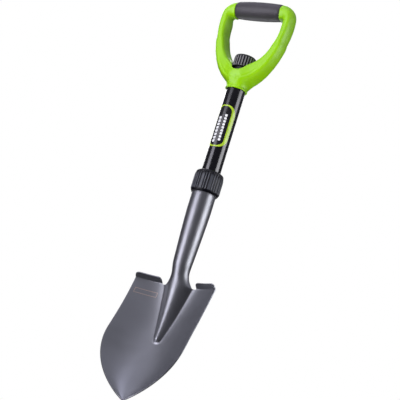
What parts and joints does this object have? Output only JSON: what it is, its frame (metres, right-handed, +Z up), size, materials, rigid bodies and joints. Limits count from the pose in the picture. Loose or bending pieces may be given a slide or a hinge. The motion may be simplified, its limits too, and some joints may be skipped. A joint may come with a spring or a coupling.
{
  "type": "camp shovel",
  "caption": "Camp shovel: dished round-point blade on a rolled socket, handle tube locked by a twist collar, and a D handle with a screw cap over storage in the tube.",
  "frame": {"origin": "middle of the bounding box in plan, in the plane of the blade's tip; the shaft's axis stands 13.4 mm behind it at y = +0.0134", "axes": "+Z runs up the shaft from the blade's tip to the D handle, the dished front of the blade faces -Y, +X is the right side seen from the front"},
  "size_m": [0.155, 0.0775, 0.7254],
  "materials": {
    "blade_steel": "satin powder coat",
    "tube_paint": "gloss",
    "collar_plastic": "moulded",
    "inner_plastic": "moulded",
    "collet_plastic": "moulded",
    "lime_plastic": "satin moulded",
    "grip_rubber": "matte",
    "seal_rubber": "matte",
    "label_film": "gloss film",
    "screw_steel": "plain"
  },
  "bodies": {
    "head": {"blade_head": "blade_steel", "guide_bush": "inner_plastic", "threaded_sleeve": "inner_plastic"},
    "collet": {"clamp_collet": "collet_plastic", "wiper_ring": "grip_rubber"},
    "nut": {"collar_nut": "collar_plastic"},
    "handle": {"handle_tube": "tube_paint", "end_plug": "inner_plastic", "tube_label": "label_film", "d_handle": "lime_plastic", "grip_sleeve": "grip_rubber", "handle_screw": "screw_steel", "storage_neck": "inner_plastic"},
    "seal": {"cap_seal": "seal_rubber"},
    "cap": {"storage_cap": "collar_plastic"}
  },
  "joints": [
    {"name": "collar_rise", "type": "slide", "parent": "head", "child": "collet", "axis": [0, 0, 1], "range_m": [0, 0.0037]},
    {"name": "collar_turn", "type": "hinge", "parent": "collet", "child": "nut", "pos_m": [0, 0.0134, 0.39], "axis": [0, 0, 1], "range_deg": [0, 432]},
    {"name": "handle_pull", "type": "slide", "parent": "head", "child": "handle", "axis": [0, 0, 1], "range_m": [0, 0.08]},
    {"name": "cap_rise", "type": "slide", "parent": "handle", "child": "seal", "axis": [0, 0, 1], "range_m": [0, 0.0301]},
    {"name": "cap_turn", "type": "hinge", "parent": "seal", "child": "cap", "pos_m": [0, 0.0134, 0.61], "axis": [0, 0, 1], "range_deg": [0, 1800]}
  ],
  "couplings": [
    {"joint": "collar_rise", "follows": "collar_turn", "m_per_rad": 0.00047746},
    {"joint": "cap_rise", "follows": "cap_turn", "m_per_rad": 0.00095493}
  ]
}
